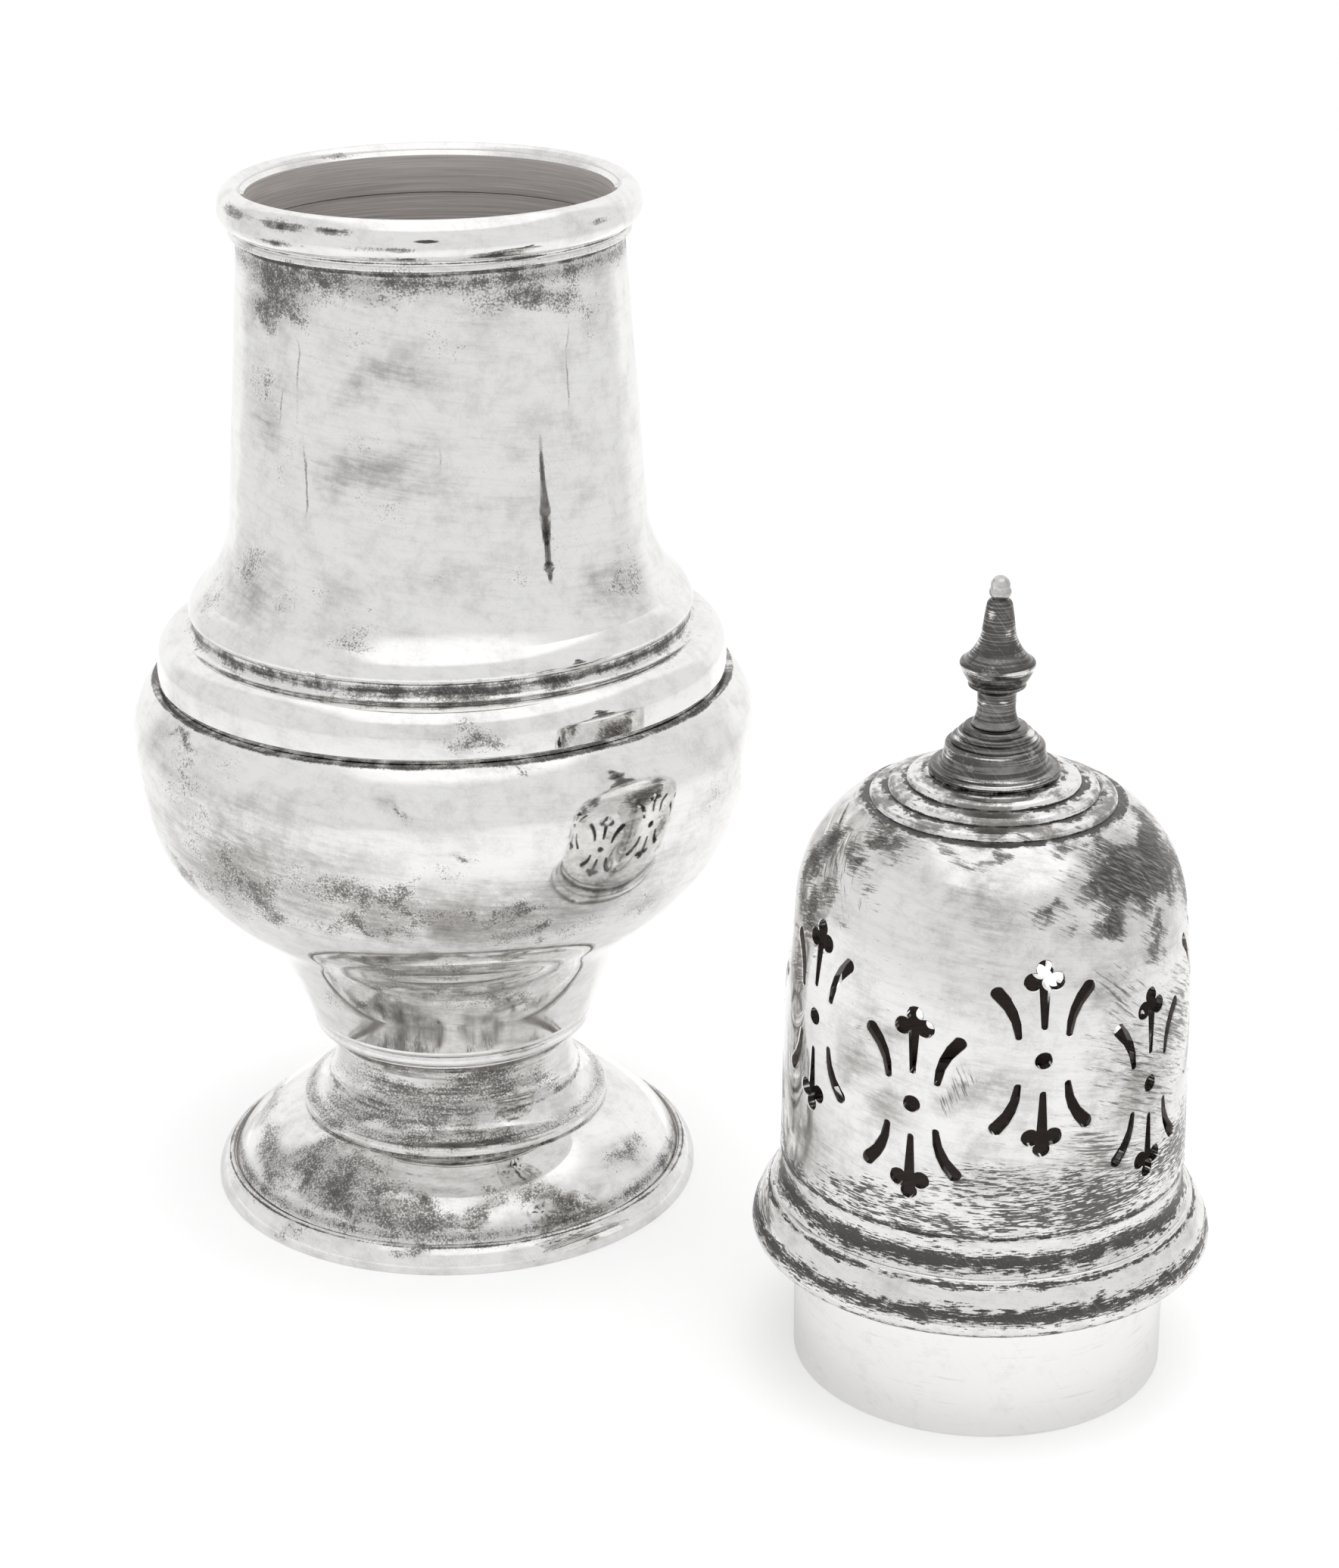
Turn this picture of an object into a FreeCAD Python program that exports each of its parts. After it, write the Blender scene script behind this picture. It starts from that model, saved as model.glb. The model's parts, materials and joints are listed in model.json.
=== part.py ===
import FreeCAD, Part
import math
import os

# Silver muffineer: a baluster sugar caster with its pierced cover taken off and stood beside it.
# Millimetres, +Z up. The origin is on the caster's axis, in the plane of the table.
# Every round piece is turned from a section, which is a list of points (radius, height, bulge).
# A bulge is the rise of the arc that arrives at the point, divided by the arc's chord.
# It is positive where the metal swells out and negative where it is hollow.

# Sizes shared by several pieces
sheet = 0.9
cut_overrun = 1.0
full_turn = 360.0

# Foot wire, the plain ring that the caster stands on
foot_wire_radius = 30.45
foot_wire_width = 3.45
foot_wire_crest_inset = 1.8
foot_wire_height = 3.2
foot_wire_upright = 0.7
foot_wire_bulge_share = 0.12
foot_seat_depth = 0.4

# Foot, a spread dome with a level ledge that carries the stem
foot_inset = 2.05
foot_ledge_radius = 19.75
foot_ledge_width = 3.35
foot_rise = 7.2
foot_bulge_share = 0.085

# Stem, the spool between foot and bowl; its waist and top are heights above the ledge
stem_lip_inset = 0.45
stem_lip_height = 0.75
stem_lip_round = 0.55
waist_inset = 0.8
waist_rise = 7.4
stem_top_radius = 15.85
stem_height = 10.6
stem_lip_bulge_share = 0.2
stem_flare_bulge_share = -0.16
stem_top_bulge_share = -0.06

# Stem collar, two soldered cords under the bowl, set out from the stem's top
collar_inset = 1.25
collar_cord_overhang = 0.45
collar_cord_height = 0.85
collar_overhang = 1.45
collar_upper_height = 1.45
collar_cord_bulge_share = 0.25
collar_bulge_share = 0.2

# Bowl: foot edge, belly and ledge, with the outline between foot edge and belly
bowl_edge_overhang = 0.65
bowl_edge_height = 0.75
bowl_edge_round = 0.55
belly_radius = 38.25
belly_rise = 37.4
bowl_ledge_width = 5.05
bowl_shoulder_rise = 7.2
bowl_edge_bulge_share = 0.2
belly_bulge_share = 0.051
bowl_shoulder_bulge_share = 0.1
bowl_outline_shares = ((0.086, 0.117, 0.0), (0.500, 0.404, -0.063), (0.870, 0.650, 0.054))

# Belt, the moulding that covers the seam between bowl and neck
belt_inset = 0.55
belt_groove_depth = 0.5
belt_groove_height = 0.65
belt_side_height = 2.15
belt_side_draft = 0.15
belt_round_height = 3.3
belt_fillet_width = 1.2
belt_fillet_height = 1.1
belt_bulge_share = 0.2071
belt_fillet_bulge_share = -0.2071

# Neck: skirt, rolled shoulder and tapered wall
skirt_radius = 30.1
skirt_reveal = 0.8
shoulder_overhang = 0.35
shoulder_under_height = 0.85
shoulder_rise = 11.15
neck_base_radius = 25.05
neck_rim_gap = 0.25
shoulder_under_bulge_share = 0.12
shoulder_bulge_share = 0.093
neck_flare_bulge_share = -0.083
shoulder_turn_shares = (0.682, 0.223)

# Mouth rim, a half-round wire over a thin cord
body_height = 127.0
mouth_radius = 21.4
mouth_lip_width = 0.5
mouth_lip_drop = 0.8
mouth_crest_width = 1.0
rim_overhang = 2.0
rim_crest_rise = 2.3
rim_side_rise = 2.35
rim_under_overhang = 0.8
rim_under_rise = 0.45
rim_cord_overhang = 0.65
rim_cord_height = 0.8
rim_lip_bulge_share = 0.12
rim_top_bulge_share = 0.17
rim_side_bulge_share = 0.2
rim_cord_bulge_share = 0.3

# Cover: where it stands beside the caster, and how it fits the mouth
cover_x = 62.9
cover_y = -45.6
cover_fit_clearance = 0.25
bezel_thickness = 0.8
bezel_reach = 15.0
bezel_shoulder = 0.4
bezel_top_drop = 1.0

# Cover flange, the moulded ring that sits on the mouth
flange_overhang = 3.0
flange_edge_rise = 2.0
flange_edge_inset = 0.7
flange_face_inset = 0.3
flange_face_rise = 1.1
flange_ridge_overhang = 1.1
flange_ridge_rise = 3.1
flange_ridge_round = 0.45
flange_cove_rise = 4.4
flange_edge_bulge_share = 0.22
flange_side_bulge_share = 0.06
flange_ridge_bulge_share = 0.25
flange_cove_bulge_share = -0.13

# Pierced dome: drum, shoulder and stepped crown, which is set out from the seat of the finial
drum_overhang = 1.75
drum_taper = 0.3
drum_height = 17.4
dome_rise = 24.9
crown_steps = 3
crown_ledge_width = 1.1
crown_ledge_rise = 0.2
step_tread = 2.02
step_rise = 0.98
last_tread = 2.26
last_rise = 1.04
step_round_share = 0.35
step_riser_share = 0.78
step_round_bulge_share = 0.2
dome_outline_shares = ((0.034, 0.281, 0.0), (0.139, 0.578, 0.0), (0.314, 0.763, 0.030), (1.0, 1.0, 0.070))

# Piercing: motifs of a dot, two trefoil slots and four curved drops, cut through the drum
motif_count = 10
motif_phase = 10.4
motif_low_rise = 15.2
motif_stagger = 5.8
motif_half_height = 11.4
motif_half_width = 5.7
motif_dot_radius = 0.95
motif_round_bulge_share = 0.5
trefoil_shares = ((0.058, 0.340, 0.0), (0.106, 0.715, 0.0), (0.130, 0.852, 1.0), (-0.130, 0.852, 1.0),
                  (-0.106, 0.715, 1.0), (-0.058, 0.340, 0.0))
drop_shares = ((0.552, 0.258, 0.0), (0.936, 0.616, -0.09), (0.790, 0.728, 0.5), (0.424, 0.252, 0.1))

# Finial base, a turned boss in steps, set out from the finial's foot
base_ring_inset = 0.3
base_ring_height = 0.75
plinth_fillet_width = 1.17
plinth_fillet_height = 0.5
plinth_draft = 0.35
plinth_height = 1.65
boss_steps = 4
boss_step_width = 0.62
boss_step_height = 0.62
boss_top_margin = 0.25
boss_step_bulge_share = 0.2
base_ring_bulge_share = 0.3
plinth_fillet_bulge_share = -0.2
boss_step_round_share = 0.6

# Finial: a turned baluster with a bead on its tip, and a peg through base and crown, riveted inside.
# Each rise is measured from the point before, upwards from the foot of the finial.
peg_radius = 1.5
peg_clearance = 0.1
rivet_overhang = 0.9
rivet_height = 0.8
finial_foot_radius = 2.75
finial_neck_radius = 2.14
finial_neck_rise = 2.7
ring_low_radius = 2.25
ring_low_rise = 1.25
ring_radius = 3.1
ring_rise = 0.5
ring_top_radius = 3.05
ring_top_rise = 0.4
knop_radius = 4.02
knop_rise = 1.8
knop_top_radius = 3.72
knop_top_rise = 0.85
spike_foot_radius = 1.89
spike_foot_rise = 2.85
spike_radius = 1.67
spike_rise = 1.75
spike_top_radius = 1.44
spike_top_rise = 1.5
bead_neck_radius = 0.85
bead_neck_rise = 0.75
bead_radius = 1.05
bead_rise = 1.2
bead_tip_rise = 1.3
bead_bulge_share = 0.22
finial_neck_bulge_share = -0.09
ring_low_bulge_share = -0.05
ring_bulge_share = 0.25
knop_bulge_share = 0.05
knop_top_bulge_share = 0.28
spike_foot_bulge_share = -0.075
spike_top_bulge_share = 0.14


def arc_edge(start, end, bulge, to_space):
    """Line, or arc with the given bulge, between two points of an outline."""
    if bulge == 0:
        return Part.LineSegment(to_space(*start), to_space(*end)).toShape()
    across = end[0] - start[0]
    up = end[1] - start[1]
    middle = ((start[0] + end[0]) / 2 + bulge * up, (start[1] + end[1]) / 2 - bulge * across)
    return Part.Arc(to_space(*start), to_space(*middle), to_space(*end)).toShape()


def outline_face(outline, to_space):
    """Flat face inside a closed outline of points (across, up, bulge)."""
    corners = [point[:2] for point in outline]
    edges = []
    for index, point in enumerate(outline):
        if corners[index - 1] != corners[index]:
            edges.append(arc_edge(corners[index - 1], corners[index], point[2], to_space))
    return Part.Face(Part.Wire(edges))


def turned(section, x=0, y=0):
    """Solid made by turning a section about the upright line through x, y."""
    face = outline_face(section, lambda radius, height: FreeCAD.Vector(radius, 0, height))
    solid = face.revolve(FreeCAD.Vector(0, 0, 0), FreeCAD.Vector(0, 0, 1), full_turn)
    solid.translate(FreeCAD.Vector(x, y, 0))
    return solid


def run_directions(path):
    """Directions, in radians, in which each run of a path leaves and arrives."""
    directions = []
    for start, end in zip(path, path[1:]):
        chord = math.atan2(end[1] - start[1], end[0] - start[0])
        half_turn = 2 * math.atan(2 * end[2])
        directions.append((chord - half_turn, chord + half_turn))
    return directions


def inset(path, thickness):
    """The same path moved into the metal by the sheet's thickness, cut square at its ends."""
    directions = run_directions(path)
    arrivals = [directions[0][0]] + [arrival for leave, arrival in directions]
    leaves = [leave for leave, arrival in directions] + [directions[-1][1]]
    inner = []
    for index, (point, arrival, leave) in enumerate(zip(path, arrivals, leaves)):
        middle = math.atan2(math.sin(arrival) + math.sin(leave), math.cos(arrival) + math.cos(leave))
        inward = (-math.sin(middle), math.cos(middle))
        reach = thickness / math.cos(middle - arrival)
        if index in (0, len(path) - 1):
            upright = abs(inward[0]) > abs(inward[1])
            reach = thickness / abs(inward[0] if upright else inward[1])
            inward = (math.copysign(1, inward[0]), 0) if upright else (0, math.copysign(1, inward[1]))
        inner.append((point[0] + reach * inward[0], point[1] + reach * inward[1], point[2]))
    return inner


def sheet_section(path, thickness, guide=None):
    """Closed section of sheet metal under a path; its inside follows the guide, or the path."""
    inner = inset(guide or path, thickness)
    bulges = [0] + [-point[2] for point in reversed(inner[1:])]
    back = [(point[0], point[1], bulge) for point, bulge in zip(reversed(inner), bulges)]
    return [(path[0][0], path[0][1], 0)] + path[1:] + back


def closing_bulge(radius, rise):
    """Bulge of the arc that meets the axis squarely, so that it turns into part of a ball."""
    return math.tan(math.atan2(rise, radius) / 2) / 2


def along(low, high, shares):
    """Points at the given shares of the way from one corner to the other."""
    return [(low[0] + share_r * (high[0] - low[0]), low[1] + share_z * (high[1] - low[1]), bulge)
            for share_r, share_z, bulge in shares]


def climbing(height, runs):
    """Points of an outline from runs (radius, rise above the point before, bulge)."""
    points = []
    for radius, rise, bulge in runs:
        height += rise
        points.append((radius, height, bulge))
    return points


# Heights and radii that follow from where one piece seats on another
foot_wire_inner_radius = foot_wire_radius - foot_wire_width
foot_radius = foot_wire_radius - foot_inset
foot_seat_height = foot_wire_height - foot_seat_depth
foot_ledge_height = foot_seat_height + foot_rise
foot_hole_radius = foot_ledge_radius - foot_ledge_width
stem_lip_radius = foot_ledge_radius - stem_lip_inset
stem_top_height = foot_ledge_height + stem_height
waist_radius = stem_top_radius - waist_inset
collar_inner_radius = stem_top_radius - collar_inset
collar_cord_radius = stem_top_radius + collar_cord_overhang
collar_radius = stem_top_radius + collar_overhang
bowl_edge_radius = collar_radius + bowl_edge_overhang
bowl_floor_height = stem_top_height + collar_cord_height + collar_upper_height
belly_height = bowl_floor_height + belly_rise
bowl_top_radius = skirt_radius + bowl_ledge_width
bowl_top_height = belly_height + bowl_shoulder_rise
belt_side_top = bowl_top_height + belt_groove_height + belt_side_height
skirt_top_height = belt_side_top + belt_round_height + belt_fillet_height + skirt_reveal
neck_top_radius = mouth_radius + sheet + neck_rim_gap
neck_top_height = body_height - rim_crest_rise - rim_side_rise - rim_under_rise - rim_cord_height
bezel_radius = mouth_radius - cover_fit_clearance
bezel_seat_radius = bezel_radius - bezel_shoulder
drum_radius = bezel_radius + drum_overhang
flange_ridge_height = bezel_reach + flange_edge_rise + flange_face_rise + flange_ridge_rise
flange_top_height = flange_ridge_height + flange_cove_rise
drum_top_radius = drum_radius - drum_taper
drum_top_height = flange_top_height + drum_height
crown_height = drum_top_height + dome_rise
boss_radius = finial_foot_radius + boss_top_margin + boss_steps * boss_step_width
plinth_foot_radius = boss_radius + plinth_draft
base_ring_radius = plinth_foot_radius + plinth_fillet_width
finial_seat_radius = base_ring_radius + base_ring_inset
first_step_radius = finial_seat_radius + last_tread + (crown_steps - 1) * step_tread
crown_radius = first_step_radius + crown_ledge_width
first_step_height = crown_height + crown_ledge_rise
finial_seat_height = first_step_height + (crown_steps - 1) * step_rise + last_rise
plinth_top_height = finial_seat_height + base_ring_height + plinth_fillet_height + plinth_height
finial_foot_height = plinth_top_height + boss_steps * boss_step_height
peg_hole_radius = peg_radius + peg_clearance


def foot_wire():
    section = [(foot_wire_inner_radius, foot_seat_height, 0),
               (foot_wire_inner_radius, 0, 0),
               (foot_wire_radius, 0, 0),
               (foot_wire_radius, foot_wire_upright, 0),
               (foot_wire_radius - foot_wire_crest_inset, foot_wire_height, foot_wire_bulge_share),
               (foot_radius, foot_seat_height, 0)]
    return turned(section)


def foot():
    path = [(foot_radius, foot_seat_height, 0),
            (foot_ledge_radius, foot_ledge_height, foot_bulge_share),
            (foot_hole_radius, foot_ledge_height, 0)]
    return turned(sheet_section(path, sheet))


def stem():
    path = climbing(foot_ledge_height, ((stem_lip_radius, 0, 0),
                                        (stem_lip_radius, stem_lip_height, 0),
                                        (stem_lip_radius - stem_lip_round, stem_lip_round,
                                         stem_lip_bulge_share)))
    path += [(waist_radius, foot_ledge_height + waist_rise, stem_flare_bulge_share),
             (stem_top_radius, stem_top_height, stem_top_bulge_share)]
    return turned(sheet_section(path, sheet))


def stem_collar():
    section = climbing(stem_top_height, ((collar_inner_radius, 0, 0),
                                         (collar_cord_radius, 0, 0),
                                         (collar_cord_radius, collar_cord_height, collar_cord_bulge_share),
                                         (collar_radius, 0, 0),
                                         (collar_radius, collar_upper_height, collar_bulge_share),
                                         (collar_inner_radius, 0, 0)))
    return turned(section)


def bowl():
    edge_top = bowl_floor_height + bowl_edge_height
    path = [(0, bowl_floor_height, 0),
            (bowl_edge_radius - bowl_edge_round, bowl_floor_height, 0),
            (bowl_edge_radius, bowl_floor_height + bowl_edge_round, bowl_edge_bulge_share),
            (bowl_edge_radius, edge_top, 0)]
    path += along((bowl_edge_radius, edge_top), (belly_radius, belly_height), bowl_outline_shares)
    path += [(belly_radius, belly_height, belly_bulge_share),
             (bowl_top_radius, bowl_top_height, bowl_shoulder_bulge_share),
             (skirt_radius - sheet, bowl_top_height, 0)]
    return turned(sheet_section(path, sheet))


def belt():
    radius = bowl_top_radius - belt_inset
    section = climbing(bowl_top_height, ((skirt_radius, 0, 0),
                                         (radius - belt_groove_depth, 0, 0),
                                         (radius - belt_groove_depth, belt_groove_height, 0),
                                         (radius, 0, 0),
                                         (radius - belt_side_draft, belt_side_height, 0),
                                         (skirt_radius + belt_fillet_width, belt_round_height,
                                          belt_bulge_share),
                                         (skirt_radius, belt_fillet_height, belt_fillet_bulge_share)))
    return turned(section)


def neck():
    shoulder = (skirt_radius + shoulder_overhang, skirt_top_height + shoulder_under_height)
    base = (neck_base_radius, shoulder[1] + shoulder_rise)
    turn_share_r, turn_share_z = shoulder_turn_shares
    path = [(skirt_radius, bowl_top_height, 0),
            (skirt_radius, skirt_top_height, 0),
            (*shoulder, shoulder_under_bulge_share)]
    path += along(shoulder, base, ((1 - turn_share_r, turn_share_z, shoulder_bulge_share),))
    path += [(*base, neck_flare_bulge_share),
             (neck_top_radius, neck_top_height, 0)]
    return turned(sheet_section(path, sheet))


def mouth_rim():
    lip_radius = mouth_radius + mouth_lip_width
    section = climbing(neck_top_height, ((mouth_radius, 0, 0),
                                         (neck_top_radius, 0, 0),
                                         (neck_top_radius + rim_cord_overhang, 0, 0),
                                         (neck_top_radius + rim_cord_overhang, rim_cord_height,
                                          rim_cord_bulge_share),
                                         (neck_top_radius + rim_under_overhang, rim_under_rise, 0),
                                         (neck_top_radius + rim_overhang, rim_side_rise,
                                          rim_side_bulge_share),
                                         (lip_radius + mouth_crest_width, rim_crest_rise,
                                          rim_top_bulge_share),
                                         (lip_radius, -mouth_lip_drop, rim_lip_bulge_share),
                                         (mouth_radius, -mouth_lip_width, 0)))
    return turned(section)


def bezel():
    inside = bezel_radius - bezel_thickness
    top = flange_top_height - bezel_top_drop
    section = [(inside, top, 0),
               (inside, 0, 0),
               (bezel_radius, 0, 0),
               (bezel_radius, bezel_reach - bezel_shoulder, 0),
               (bezel_seat_radius, bezel_reach, 0),
               (bezel_seat_radius, top, 0)]
    return turned(section, cover_x, cover_y)


def cover_flange():
    radius = drum_radius + flange_overhang
    ridge_radius = drum_radius + flange_ridge_overhang
    section = climbing(bezel_reach, ((bezel_seat_radius, 0, 0),
                                     (radius - flange_edge_inset, 0, 0),
                                     (radius, flange_edge_rise, flange_edge_bulge_share),
                                     (radius - flange_face_inset, flange_face_rise,
                                      flange_side_bulge_share),
                                     (ridge_radius, flange_ridge_rise - flange_ridge_round,
                                      flange_side_bulge_share),
                                     (ridge_radius - flange_ridge_round, flange_ridge_round,
                                      flange_ridge_bulge_share),
                                     (drum_radius, flange_cove_rise, flange_cove_bulge_share),
                                     (bezel_seat_radius, 0, 0)))
    return turned(section, cover_x, cover_y)


def crown_profile():
    """Steps of the crown, each a rounded riser and a tread that runs in to the next."""
    radius, height = first_step_radius, first_step_height
    profile = [(radius, height, 0)]
    for step in range(crown_steps):
        last = step == crown_steps - 1
        profile.append((radius - step_round_share * step_tread, height + step_riser_share * step_rise,
                        step_round_bulge_share))
        radius -= last_tread if last else step_tread
        height += last_rise if last else step_rise
        profile.append((radius, height, 0))
    return profile


def motif_cutters():
    """Cutters for one motif, around the origin and facing -Y."""
    outer = -(drum_radius + cut_overrun)
    depth = FreeCAD.Vector(0, drum_radius / 2, 0)

    def cutter(shares, side, way):
        outline = [(side * share_x * motif_half_width, way * share_z * motif_half_height,
                    side * way * bulge) for share_x, share_z, bulge in shares]
        outline[0] = (outline[0][0], outline[0][1], side * way * motif_round_bulge_share)
        face = outline_face(outline, lambda across, up: FreeCAD.Vector(across, outer, up))
        return face.extrude(depth)

    cutters = [Part.makeCylinder(motif_dot_radius, depth.y, FreeCAD.Vector(0, outer, 0),
                                 FreeCAD.Vector(0, 1, 0))]
    for way in (1, -1):
        cutters.append(cutter(trefoil_shares, 1, way))
        for side in (1, -1):
            cutters.append(cutter(drop_shares, side, way))
    return cutters


def pierced_dome():
    """Thin dome with a stepped crown, pierced by alternating high and low motifs."""
    drum = [(drum_radius, flange_top_height, 0), (drum_top_radius, drum_top_height, 0)]
    drum += along((drum_top_radius, drum_top_height), (crown_radius, crown_height), dome_outline_shares)
    seat = [(finial_seat_radius, finial_seat_height, 0), (peg_hole_radius, finial_seat_height, 0)]
    dome = turned(sheet_section(drum + crown_profile() + seat[1:], sheet, guide=drum + seat))
    low_height = flange_top_height + motif_low_rise
    cutters = []
    for index in range(motif_count):
        angle = motif_phase + index * full_turn / motif_count
        height = low_height if index % 2 else low_height + motif_stagger
        for cutter in motif_cutters():
            cutter.rotate(FreeCAD.Vector(0, 0, 0), FreeCAD.Vector(0, 0, 1), angle)
            cutter.translate(FreeCAD.Vector(0, 0, height))
            cutters.append(cutter)
    dome = dome.cut(cutters)
    dome.translate(FreeCAD.Vector(cover_x, cover_y, 0))
    return dome


def finial_base():
    radius = boss_radius
    runs = [(peg_hole_radius, 0, 0),
            (base_ring_radius, 0, 0),
            (base_ring_radius, base_ring_height, base_ring_bulge_share),
            (plinth_foot_radius, plinth_fillet_height, plinth_fillet_bulge_share),
            (radius, plinth_height, 0)]
    for step in range(boss_steps):
        runs.append((radius - boss_step_round_share * boss_step_width, boss_step_height,
                     boss_step_bulge_share))
        radius -= boss_step_width
        runs.append((radius, 0, 0))
    runs.append((peg_hole_radius, 0, 0))
    return turned(climbing(finial_seat_height, runs), cover_x, cover_y)


def finial():
    rivet_radius = peg_radius + rivet_overhang
    rivet_seat_height = finial_seat_height - sheet
    section = [(0, rivet_seat_height - rivet_height, 0),
               (rivet_radius, rivet_seat_height, closing_bulge(rivet_radius, rivet_height)),
               (peg_radius, rivet_seat_height, 0)]
    section += climbing(finial_foot_height, ((peg_radius, 0, 0),
                                             (finial_foot_radius, 0, 0),
                                             (finial_neck_radius, finial_neck_rise,
                                              finial_neck_bulge_share),
                                             (ring_low_radius, ring_low_rise, ring_low_bulge_share),
                                             (ring_radius, ring_rise, 0),
                                             (ring_top_radius, ring_top_rise, ring_bulge_share),
                                             (knop_radius, knop_rise, knop_bulge_share),
                                             (knop_top_radius, knop_top_rise, knop_top_bulge_share),
                                             (spike_foot_radius, spike_foot_rise, spike_foot_bulge_share),
                                             (spike_radius, spike_rise, 0),
                                             (spike_top_radius, spike_top_rise, 0),
                                             (bead_neck_radius, bead_neck_rise, spike_top_bulge_share),
                                             (bead_radius, bead_rise, bead_bulge_share),
                                             (0, bead_tip_rise, closing_bulge(bead_radius, bead_tip_rise))))
    return turned(section, cover_x, cover_y)


os.makedirs("parts", exist_ok=True)
pieces = {
    "foot_wire": foot_wire(),
    "foot": foot(),
    "stem": stem(),
    "stem_collar": stem_collar(),
    "bowl": bowl(),
    "belt_moulding": belt(),
    "neck": neck(),
    "mouth_rim": mouth_rim(),
    "bezel": bezel(),
    "cover_flange": cover_flange(),
    "pierced_dome": pierced_dome(),
    "finial_base": finial_base(),
    "finial": finial(),
}
for name, shape in pieces.items():
    shape.exportStep("parts/" + name + ".step")
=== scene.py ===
import json
import math

import bpy
import numpy as np
from mathutils import Matrix, Vector


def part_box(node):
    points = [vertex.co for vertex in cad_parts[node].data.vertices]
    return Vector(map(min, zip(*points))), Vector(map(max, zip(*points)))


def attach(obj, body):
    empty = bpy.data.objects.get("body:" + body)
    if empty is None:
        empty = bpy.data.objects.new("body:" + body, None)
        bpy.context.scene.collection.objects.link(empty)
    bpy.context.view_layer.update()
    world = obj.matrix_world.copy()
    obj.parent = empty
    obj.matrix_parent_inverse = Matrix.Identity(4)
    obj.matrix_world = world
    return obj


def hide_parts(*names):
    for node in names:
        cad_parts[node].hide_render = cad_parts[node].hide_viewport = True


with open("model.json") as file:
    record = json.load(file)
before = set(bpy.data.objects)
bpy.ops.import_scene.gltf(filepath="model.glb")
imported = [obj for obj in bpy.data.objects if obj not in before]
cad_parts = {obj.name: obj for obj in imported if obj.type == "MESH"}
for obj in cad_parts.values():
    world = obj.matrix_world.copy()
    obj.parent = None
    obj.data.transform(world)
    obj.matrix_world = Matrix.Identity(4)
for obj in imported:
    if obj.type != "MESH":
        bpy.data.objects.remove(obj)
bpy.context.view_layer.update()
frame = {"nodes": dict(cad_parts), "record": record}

# Looks of a silver muffineer whose cover stands beside it. Metres, +Z up, in the row's frame.
# Azimuths are in degrees about the axis of the vessel or the cover, from -Y towards +X.
mm = 0.001

# The photograph's frame and viewpoint
image_height_px = 2072
focal_length_px = 4454.1
sensor_size = 36.0
camera_place = (27.5 * mm, -388.4 * mm, 203.4 * mm)
camera_pitch = math.radians(21.325)
camera_roll = math.radians(-0.206)

# Fineness of the turned surfaces
turn_segments = 240
arc_step = math.radians(5)
edge_round = 0.16 * mm
edge_round_steps = 4
edge_round_share = 0.4
round_corner_above = math.radians(12)
sharp_corner_above = math.radians(12)

# Tolerances of the sections that are read from the solids, and of the normals of the cut dome
join_tolerance = 0.002 * mm
flat_tolerance = 0.0004 * mm
straight_below = 1e-6
around_gap = math.radians(40)
normal_reach = 0.02 * mm
normal_agreement = math.radians(25)
nearest_runs = 3

# Piercing of the dome, as the solid has it
motif_count = 10
motif_phase = 10.4
motif_low_height = 40.8 * mm
motif_high_height = 46.6 * mm
motif_half_height = 11.4 * mm
motif_half_width = 5.7 * mm
motif_dot_radius = 0.95 * mm
motif_round_bulge_share = 0.5
trefoil_shares = ((0.058, 0.340, 0.0), (0.106, 0.715, 0.0), (0.130, 0.852, 1.0), (-0.130, 0.852, 1.0),
                  (-0.106, 0.715, 1.0), (-0.058, 0.340, 0.0))
drop_shares = ((0.552, 0.258, 0.0), (0.936, 0.616, -0.09), (0.790, 0.728, 0.5), (0.424, 0.252, 0.1))
cutter_overrun = 1.0 * mm
cutter_reach = 9.0 * mm
hole_edge = 0.09 * mm
outline_step = math.radians(14)


def cross(a, b):
    """Cross product of flat vectors."""
    return a[..., 0] * b[..., 1] - a[..., 1] * b[..., 0]


def face_islands(mesh):
    """Vertex coordinates of each loose part of a mesh; every CAD face is one."""
    coordinates = np.empty(len(mesh.vertices) * 3)
    mesh.vertices.foreach_get("co", coordinates)
    coordinates = coordinates.reshape(-1, 3)
    ends = np.empty(len(mesh.edges) * 2, int)
    mesh.edges.foreach_get("vertices", ends)
    first, second = ends.reshape(-1, 2).T
    labels = np.arange(len(coordinates))
    while True:
        lowest = np.minimum(labels[first], labels[second])
        joined = labels.copy()
        np.minimum.at(joined, first, lowest)
        np.minimum.at(joined, second, lowest)
        joined = joined[joined]
        if (joined == labels).all():
            break
        labels = joined
    return [coordinates[labels == label] for label in np.unique(labels)]


def section_run(points):
    """Start, end and turn of the line or arc on which points of a turned face's section lie."""
    start = points[np.argmax(((points - points.mean(0)) ** 2).sum(1))]
    end = points[np.argmax(((points - start) ** 2).sum(1))]
    start = points[np.argmax(((points - end) ** 2).sum(1))]
    chord = end - start
    length = np.hypot(*chord)
    if length < join_tolerance:
        return start, np.array((0.0, start[1])), 0.0
    offset = cross(chord, points - start) / length
    far = np.argmax(abs(offset))
    if abs(offset[far]) < flat_tolerance:
        return start, end, 0.0
    to_start, to_end = start - points[far], end - points[far]
    seen = abs(math.atan2(cross(to_start, to_end), to_start @ to_end))
    return start, end, -math.copysign(2 * (math.pi - seen), offset[far])


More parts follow.
